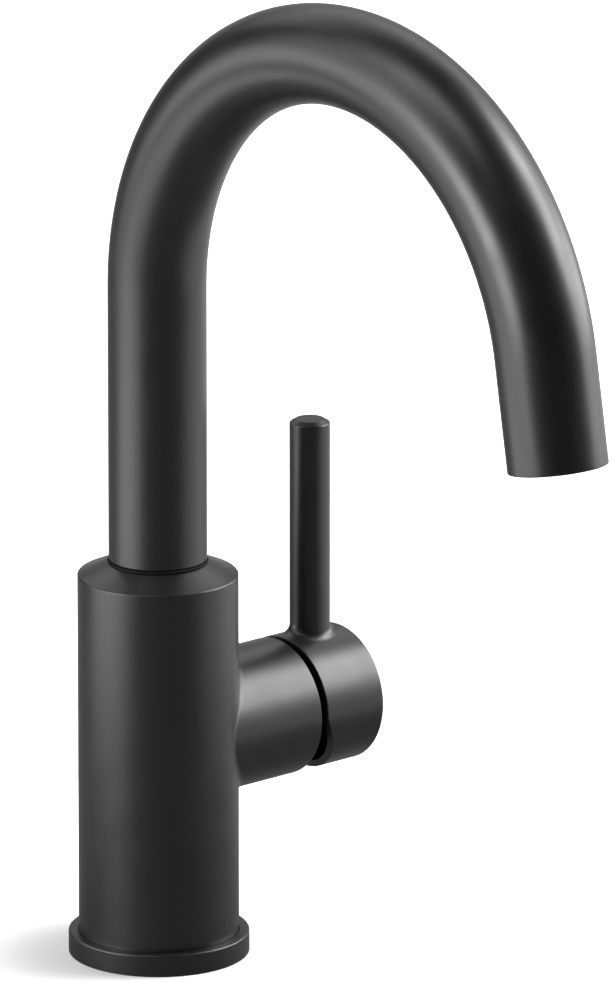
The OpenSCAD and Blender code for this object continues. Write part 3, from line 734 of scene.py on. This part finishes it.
def makeCap():
    low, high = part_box("bonnet_cap")
    outer = high.y
    outline = roundedOutline([
        (capShape["bore"], low.x, capShape["rounding"]), (outer, low.x, capShape["rounding"]),
        (outer, high.x, capShape["shoulder"]), (capShape["bore"], high.x, capShape["rounding"])])
    finishPiece(lathe("bonnetCap", outline, onValve(0)), "base", "blackPlastic", "bonnet_cap")


makeCap()
stageDone("bonnet cap")


# Underside: gasket, mounting plate and its screws

underShape = {
    "gasket out": 25.975 * mm, "gasket in": 20.15 * mm, "gasket height": 2 * mm, "gasket edge": 0.1 * mm,
    "gasket rounding": 0.2 * mm, "bead": 0.35 * mm, "beads": 3, "bead slope": 0.3,
    "plate low": 19.95 * mm, "plate core": 21.15 * mm, "plate height": 14 * mm, "plate rounding": 0.5 * mm,
    "plate step": 0.2 * mm, "plate edge": 0.3 * mm,
    "stud hole": 3.4 * mm, "inlet hole": 4.5 * mm, "inlet x": 8 * mm, "inlet y": 8 * mm,
    "stud pitch": 1.25 * mm, "inlet pitch": 1.0 * mm, "thread share": 0.3, "thread flat": 0.2,
    "thread sides": 64, "screw circle": 15.75 * mm, "screw count": 3, "screw turn": 0.7, "screw sides": 40,
    "head radius": 3.4 * mm, "head height": 4 * mm, "head sink": 0.5 * mm, "head rounding": 0.5 * mm,
    "head edge": 0.15 * mm, "neck rounding": 0.1 * mm, "screw radius": 2 * mm, "screw length": 18 * mm,
    "root share": 0.82, "first thread": 1.2 * mm, "last thread": 1 * mm, "screw pitch": 0.7 * mm,
    "thread edge": 0.1 * mm, "flank": 0.25 * mm, "key width": 2.8 * mm, "room": 0.05 * mm, "cut": 1 * mm,
}


def makeGasket():
    u = underShape
    inner, outer, high, soft = u["gasket in"], u["gasket out"], u["gasket height"], u["gasket edge"]
    width = (outer - inner) / (2 * u["beads"] + 1)
    # Beads face the deck: grooves between them let the rubber give
    low = []
    for k in range(u["beads"]):
        start, slope = inner + (2 * k + 1) * width, u["bead slope"] * width
        low += [(start, 0, soft), (start + slope, u["bead"], soft),
                (start + width - slope, u["bead"], soft), (start + width, 0, soft)]
    outline = roundedOutline([(inner, high, soft), (inner, 0, u["gasket rounding"])] + low
                             + [(outer, 0, u["gasket rounding"]), (outer, high, soft)], 3)
    finishPiece(lathe("baseGasket", outline), "base", "rubber", "base_gasket", sharpAngle=50)


def threadCutter(name, radius, pitch, place=Matrix.Identity(4)):
    # The thread is drawn as rings: between its ridges the cutter reaches out into the grooves
    u = underShape
    depth, flat, cut, length = pitch * u["thread share"], u["thread flat"], u["cut"], u["plate height"]
    outline = [(0, -cut), (radius + depth + cut, -cut), (radius, depth)]
    for k in range(int((length - depth) / pitch)):
        z = depth + k * pitch
        outline += [(radius, z + flat * pitch), (radius + depth, z + pitch / 2),
                    (radius, z + (1 - flat) * pitch)]
    outline += [(radius, length + cut), (0, length + cut)]
    return lathe(name, sharpOutline(*outline), place, u["thread sides"])


def makePlate():
    u = underShape
    step, top, cut = u["gasket height"], u["plate height"], u["cut"]
    plate = lathe("mountingPlate", roundedOutline([
        (0, 0, 0), (u["plate low"], 0, u["plate rounding"]), (u["plate low"], step, u["plate step"]),
        (u["plate core"], step, u["plate edge"]), (u["plate core"], top, u["plate edge"]), (0, top, 0)]))
    tools = [threadCutter("stud", u["stud hole"], u["stud pitch"])]
    for side in (-1, 1):
        tools.append(threadCutter("inlet", u["inlet hole"], u["inlet pitch"],
                                  Matrix.Translation((u["inlet x"], side * u["inlet y"], 0))))
    headR, shankR = u["head radius"] + u["room"], u["screw radius"] + u["room"]
    headTop = u["head sink"] + u["head height"]
    pocket = sharpOutline((0, -cut), (headR, -cut), (headR, headTop), (shankR, headTop),
                          (shankR, top + cut), (0, top + cut))
    for k in range(u["screw count"]):
        a = tau * k / u["screw count"]
        place = Matrix.Translation((u["screw circle"] * math.cos(a), u["screw circle"] * math.sin(a), 0))
        tools.append(lathe("pocket", pocket, place, holeSides))
    finishPiece(cutAway(plate, *tools), "base", "brass", "mounting_plate", sharpAngle=25)


def screwTree():
    # One screw with a socket in its head, set round the plate's circle
    u = underShape
    tree, given, result = startTree(
        "screwCircle", "GeometryNodeTree",
        [("Screw", "Object", None), ("Count", "Int", u["screw count"]),
         ("Circle Radius", "Float", u["screw circle"]), ("Sink", "Float", u["head sink"]),
         ("Material", "Material", None)],
        ("Geometry", "Geometry"))
    circle = addNode(tree, "GeometryNodeMeshCircle",
                     {"Vertices": given["Count"], "Radius": given["Circle Radius"]})
    up = addNode(tree, "ShaderNodeCombineXYZ", {2: given["Sink"]}).outputs[0]
    raised = addNode(tree, "GeometryNodeSetPosition", {"Geometry": circle.outputs[0], "Offset": up})
    index = addNode(tree, "GeometryNodeInputIndex").outputs[0]
    turn = addNode(tree, "ShaderNodeCombineXYZ", {2: maths(tree, "MULTIPLY", index, u["screw turn"])})
    screw = addNode(tree, "GeometryNodeObjectInfo", {"Object": given["Screw"]}).outputs["Geometry"]
    placed = addNode(tree, "GeometryNodeInstanceOnPoints",
                     {"Points": raised.outputs[0], "Instance": screw, "Rotation": turn.outputs[0]})
    return dressGeometry(tree, placed.outputs[0], given, result)


def makeScrews():
    u = underShape
    head, crest, edge = u["head height"], u["screw radius"], u["thread edge"]
    root, end = crest * u["root share"], head + u["screw length"]
    # The last two corners only give the neck's rounding its direction
    outline = roundedOutline([
        (0, 0, 0), (u["head radius"], 0, u["head rounding"]), (u["head radius"], head, u["head edge"]),
        (crest, head, u["neck rounding"]), (crest, end, 0), (0, end, 0)], 4)[:-2]
    z = head + u["first thread"]
    while z < end - u["last thread"]:
        outline += sharpOutline((root, z), (root, z + edge), (crest, z + edge + u["flank"]),
                                (crest, z + 2 * edge + u["flank"]))
        z += u["screw pitch"]
    screw = lathe("screwModel", outline + sharpOutline((root, end), (0, end)), sides=u["screw sides"])
    # The six-sided socket for the key
    corners = [(u["key width"] / 2 * math.cos(tau * k / 6), u["key width"] / 2 * math.sin(tau * k / 6), z)
               for z in (-u["cut"], head / 2) for k in range(6)]
    faces = [tuple(range(5, -1, -1)), tuple(range(6, 12))] + ringFaces(2, 6, False)
    screw = cutAway(screw, meshPiece("key", corners, faces))
    screws = runTree("plateScrews", screwTree(), {
        "Screw": screw, "Count": u["screw count"], "Circle Radius": u["screw circle"],
        "Sink": u["head sink"], "Material": finishes["steel"]["material"]})
    bpy.data.objects.remove(screw)
    finishPiece(screws, "base", "steel", "plate_screws")


makeGasket()
makePlate()
makeScrews()
stageDone("gasket, mounting plate and screws")


# Outlet: aerator housing and its screen

outletShape = {
    "recess": 1.6 * mm, "radius": 11.7 * mm, "inner": 10.5 * mm, "lip": 1 * mm, "height": 9.9 * mm,
    "slot width": 2.4 * mm, "slot depth": 0.8 * mm, "slot reach": 0.5 * mm, "rounding": 0.25 * mm,
    "lip rounding": 0.1 * mm, "screen": 10.45 * mm, "screen thickness": 1 * mm, "screen hole": 2 * mm,
    "screen pitch": 2.7 * mm, "screen rings": 2, "screen edge": 0.1 * mm, "cut": 1 * mm,
}


def outletPlace(up):
    # Local Z runs up the tube from its end
    s = spoutShape
    a = s["bend angle"]
    z = footZ + s["rise"] + s["bend radius"] * math.sin(a) + s["drop"] * math.cos(a)
    y = -s["bend radius"] + s["bend radius"] * math.cos(a) - s["drop"] * math.sin(a)
    tilt = Matrix.Rotation(a - math.pi, 4, "X")
    return Matrix.Translation((0, y, z)) @ tilt @ Matrix.Translation((0, 0, up))


def makeAerator():
    o = outletShape
    place = outletPlace(o["recess"])
    inner, outer, high, lip = o["inner"], o["radius"], o["height"], o["lip"]
    mouth, soft, lipSoft = inner - lip, o["rounding"], o["lip rounding"]
    outline = roundedOutline([
        (mouth, 0, soft), (outer, 0, soft), (outer, high, soft), (inner, high, soft),
        (inner, lip, lipSoft), (mouth, lip, lipSoft)], 3)
    housing = lathe("aeratorHousing", outline, place)
    slots = []
    half = o["slot width"] / 2
    for side in (-1, 1):
        near, far = sorted((side * (mouth - o["slot reach"]), side * (outer + o["cut"])))
        slot = bar("slot", (near, -half, -o["cut"]), (far, half, o["slot depth"]))
        slot.data.transform(place)
        slots.append(slot)
    finishPiece(cutAway(housing, *slots), "spout", "blackPlastic", "aerator_housing")


def screenTree():
    # A disc with holes in rings: ring k holds 6k of them, round one in the middle
    tree, given, result = startTree(
        "ringedScreen", "GeometryNodeTree",
        [("Radius", "Float", 0.01), ("Thickness", "Float", 0.001), ("Hole Radius", "Float", 0.001),
         ("Pitch", "Float", 0.003), ("Rings", "Int", 2), ("Material", "Material", None)],
        ("Geometry", "Geometry"))
    # Hole i lies in the first ring k with 3k(k + 1) no less than i
    index = addNode(tree, "GeometryNodeInputIndex").outputs[0]
    root = maths(tree, "SQRT", maths(tree, "MULTIPLY_ADD", index, 12.0, 9.0))
    ring = maths(tree, "CEIL", maths(tree, "DIVIDE", maths(tree, "SUBTRACT", root, 3.001), 6.0))
    before = maths(tree, "MULTIPLY", maths(tree, "MULTIPLY", ring, maths(tree, "SUBTRACT", ring, 1.0)), 3.0)
    place = maths(tree, "SUBTRACT", maths(tree, "SUBTRACT", index, before), 1.0)
    share = maths(tree, "DIVIDE", place, maths(tree, "MAXIMUM", ring, 1.0))
    turn = maths(tree, "MULTIPLY", share, tau / 6)
    out = maths(tree, "MULTIPLY", ring, given["Pitch"])
    x, y = (maths(tree, "MULTIPLY", out, maths(tree, wave, turn)) for wave in ("COSINE", "SINE"))
    spot = addNode(tree, "ShaderNodeCombineXYZ", {0: x, 1: y})
    held = maths(tree, "MULTIPLY", given["Rings"], maths(tree, "ADD", given["Rings"], 1.0))
    points = addNode(tree, "GeometryNodePoints", {"Count": maths(tree, "MULTIPLY_ADD", held, 3.0, 1.0),
                                                  "Position": spot.outputs[0]})
    deep = maths(tree, "MULTIPLY", given["Thickness"], 3.0)
    hole = addNode(tree, "GeometryNodeMeshCylinder",
                   {"Vertices": 32, "Radius": given["Hole Radius"], "Depth": deep})
    holes = addNode(tree, "GeometryNodeInstanceOnPoints",
                    {"Points": points.outputs[0], "Instance": hole.outputs[0]})
    tools = addNode(tree, "GeometryNodeRealizeInstances", {0: holes.outputs[0]})
    disc = addNode(tree, "GeometryNodeMeshCylinder",
                   {"Vertices": 96, "Radius": given["Radius"], "Depth": given["Thickness"]})
    cut = addNode(tree, "GeometryNodeMeshBoolean", {"Mesh 1": disc.outputs[0], "Mesh 2": tools.outputs[0]},
                  operation="DIFFERENCE", solver="EXACT")
    return dressGeometry(tree, cut.outputs[0], given, result)


def makeScreen():
    o = outletShape
    screen = runTree("aeratorScreen", screenTree(), {
        "Radius": o["screen"], "Thickness": o["screen thickness"], "Hole Radius": o["screen hole"] / 2,
        "Pitch": o["screen pitch"], "Rings": o["screen rings"], "Material": finishes["steel"]["material"]})
    screen.data.transform(outletPlace(o["recess"] + o["lip"] + o["screen thickness"] / 2))
    screen = softenEdges(screen, o["screen edge"], 2)
    finishPiece(screen, "spout", "steel", "aerator_screen", sharpAngle=40)


makeAerator()
makeScreen()
stageDone("aerator")


# Plug over the set screw, under the hub

plugShape = {"radius": 2.5 * mm, "sink": 0.4 * mm, "thickness": 2.5 * mm, "rounding": 0.4 * mm,
             "back rounding": 0.1 * mm}


def makePlug():
    g = plugShape
    low = valveZ - valveR + g["sink"]
    high = low + g["thickness"]
    outline = roundedOutline([(0, low, 0), (g["radius"], low, g["rounding"]),
                              (g["radius"], high, g["back rounding"]), (0, high, 0)], 4)
    place = Matrix.Translation((hubStart + handleShape["screw from face"], 0, 0))
    plug = lathe("screwPlug", outline, place, holeSides)
    finishPiece(plug, "handle", "blackPlastic", "handle_screw_plug")


makePlug()
stageDone("screw plug")


# Stage, lamps and camera

cameraShape = {"azimuth": -41.093, "elevation": 16.465, "distance": 4092.74 * mm, "right": 43.878 * mm,
               "up": 18.845 * mm, "aim height": 120 * mm, "lens": 496.82, "sensor": 36.0,
               "clip": (0.1, 100)}


def fromCamera(azimuth, elevation):
    # A direction, its azimuth turned to the right from the camera's own
    a, e = math.radians(cameraShape["azimuth"] + azimuth), math.radians(elevation)
    return Vector((math.sin(a) * math.cos(e), -math.cos(a) * math.cos(e), math.sin(e)))


def makeCamera():
    back, right = fromCamera(0, cameraShape["elevation"]), fromCamera(90, 0)
    up = back.cross(right)
    data = bpy.data.cameras.new("camera")
    data.sensor_fit = "AUTO"
    data.sensor_width = cameraShape["sensor"]
    data.lens = cameraShape["lens"]
    data.clip_start, data.clip_end = cameraShape["clip"]
    camera = addObject("camera", data)
    camera.location = (Vector((0, 0, cameraShape["aim height"])) + back * cameraShape["distance"]
                       + right * cameraShape["right"] + up * cameraShape["up"])
    camera.rotation_euler = Matrix((right, up, back)).transposed().to_euler()
    bpy.context.scene.camera = camera


stageLook = {
    "size": 8.0, "floor gap": 0.05 * mm, "floor cover": 1 * mm, "floor": 0.2, "floor seen": 0.8,
    # The first four keys on the next line dim the floor's glow to the camera round the foot: painted shade,
    # centred to the picture's left
    "painted shade glow": 0.12, "painted shade from": 18 * mm, "painted shade to": 72 * mm, "shade shift": 12 * mm,
    "glow near": 0.15, "glow from": 50 * mm, "glow to": 450 * mm,
    "wall azimuth": -24, "wall from": 0.55, "wall to": 0.85, "wall foot": -0.25,
    "near": 0.03, "behind": 0.3, "white": 1.0, "in gloss": 0.6, "lamp lift": 3 * mm,
}


def whiteSide(tree):
    # Rays from the camera and through glass see the white background, and so do rays in gloss
    # that run low across the room to where the background lies
    look = stageLook
    incoming = addNode(tree, "ShaderNodeNewGeometry").outputs["Incoming"]
    along = vectorMaths(tree, "DOT_PRODUCT", incoming, fromCamera(look["wall azimuth"], 0))
    behind = ease(tree, along, look["wall from"], look["wall to"])
    height = addNode(tree, "ShaderNodeSeparateXYZ", {0: incoming}).outputs[2]
    low = ease(tree, height, look["wall foot"], 0.0)
    path = addNode(tree, "ShaderNodeLightPath").outputs
    seen = maths(tree, "MAXIMUM", path["Is Camera Ray"], path["Is Transmission Ray"])
    glossed = maths(tree, "MULTIPLY", maths(tree, "MULTIPLY", path["Is Glossy Ray"], behind), low)
    glossed = maths(tree, "MULTIPLY", glossed, look["in gloss"])
    return maths(tree, "MAXIMUM", seen, glossed), behind


def makeFloor():
    look = stageLook
    half, top = look["size"] / 2, -look["floor gap"]
    mesh = bpy.data.meshes.new("floor")
    mesh.from_pydata([(-half, -half, top), (half, -half, top), (half, half, top), (-half, half, top)],
                     [], [(0, 1, 2, 3)])
    floor = addObject("floor", mesh)
    material = bpy.data.materials.new("paleFloor")
    tree = emptyTree(material)
    # Near the faucet the floor glows less, so that the real shadow shows and painted shade deepens it round
    # the foot; in gloss over a wider area
    place = addNode(tree, "ShaderNodeTexCoord").outputs["Object"]
    away = vectorMaths(tree, "LENGTH", place)
    reach = ease(tree, away, look["glow from"], look["glow to"], look["glow near"])
    straight = addNode(tree, "ShaderNodeLightPath").outputs["Is Camera Ray"]
    diffuse = addNode(tree, "ShaderNodeBsdfDiffuse",
                      {"Color": blend(tree, straight, look["floor"], look["floor seen"])})
    # The painted shade: the floor's glow to the camera dims round the foot, its middle to the picture's
    # left, where the cast shadow falls
    shade = vectorMaths(tree, "DISTANCE", place, fromCamera(-90, 0) * look["shade shift"])
    white = ease(tree, shade, look["painted shade from"], look["painted shade to"], look["painted shade glow"])
    strength = maths(tree, "MULTIPLY", whiteSide(tree)[0], blend(tree, straight, reach, white))
    glow = addNode(tree, "ShaderNodeEmission", {"Color": (1, 1, 1, 1), "Strength": strength})
    both = addNode(tree, "ShaderNodeAddShader", {0: diffuse.outputs[0], 1: glow.outputs[0]})
    # From below the floor is clear, and open under the base ring, so that the foot is seen and lit
    below = addNode(tree, "ShaderNodeNewGeometry").outputs["Backfacing"]
    under = maths(tree, "LESS_THAN", away, ringHigh.y - look["floor cover"])
    clear = addNode(tree, "ShaderNodeBsdfTransparent")
    surface = addNode(tree, "ShaderNodeMixShader",
                      {0: maths(tree, "MAXIMUM", below, under), 1: both.outputs[0], 2: clear.outputs[0]})
    addNode(tree, "ShaderNodeOutputMaterial", {"Surface": surface.outputs[0]})
    mesh.materials.append(material)


def makeRoom():
    # The camera's side of the room is dark, and the light wall stands behind the faucet
    world = bpy.data.worlds.new("studio")
    bpy.context.scene.world = world
    tree = emptyTree(world)
    seen, behind = whiteSide(tree)
    ambient = blend(tree, behind, stageLook["near"], stageLook["behind"])
    strength = blend(tree, seen, ambient, stageLook["white"])
    room = addNode(tree, "ShaderNodeBackground", {"Color": (1, 1, 1, 1), "Strength": strength})
    addNode(tree, "ShaderNodeOutputWorld", {"Surface": room.outputs[0]})


# Soft boxes: azimuth, elevation, distance, then width and height in degrees as the faucet sees
# them, and how bright the face is; those named after the floor lie on it and shine up
lamps = {
    "keyHigh": (106, 44, 2.0, 24, 20, 10.6),
    "key": (96, 26, 2.0, 26, 18, 10.8),
    "keyLow": (110, 8, 2.0, 46, 18, 5.4),
    "rim": (124, 26, 2.0, 18, 18, 2.4),
    "left": (-61, 6, 2.0, 34, 20, 10.5),
    "leftMid": (-84, 28, 2.0, 38, 20, 1.8),
    "leftBack": (-98, 2, 1.2, 24, 30, 3.2),
    "leftHigh": (-76, 50, 2.0, 24, 20, 2.8),
    "leftTop": (-48, 66, 2.0, 30, 20, 3.0),
    "leftLow": (-68, -12, 0.28, 60, 22, 1.2),
    "floorLeft": (-78, -11, 0.75, 24, 64, 1.25),
    "floorRight": (88, -15, 0.5, 42, 44, 1.0),
    "behind": (180, 44, 2.0, 80, 30, 1.2),
}


def makeLamps():
    for name, (azimuth, elevation, distance, wide, tall, face) in lamps.items():
        data = bpy.data.lights.new(name, "AREA")
        data.shape = "RECTANGLE"
        data.size, data.size_y = (2 * distance * math.tan(math.radians(a / 2)) for a in (wide, tall))
        data.energy = face * math.pi * data.size * data.size_y
        away = fromCamera(azimuth, elevation)
        softBox = addObject(name, data)
        softBox.location = Vector((0, 0, cameraShape["aim height"])) + away * distance
        if name.startswith("floor"):
            softBox.location.z = stageLook["lamp lift"]
            softBox.rotation_euler = (math.pi, 0, math.radians(cameraShape["azimuth"] + azimuth))
        else:
            softBox.rotation_euler = away.to_track_quat("Z", "Y").to_euler()


makeCamera()
makeFloor()
makeRoom()
makeLamps()
bpy.context.scene.view_settings.view_transform = "Standard"
stageDone("stage, lamps and camera")
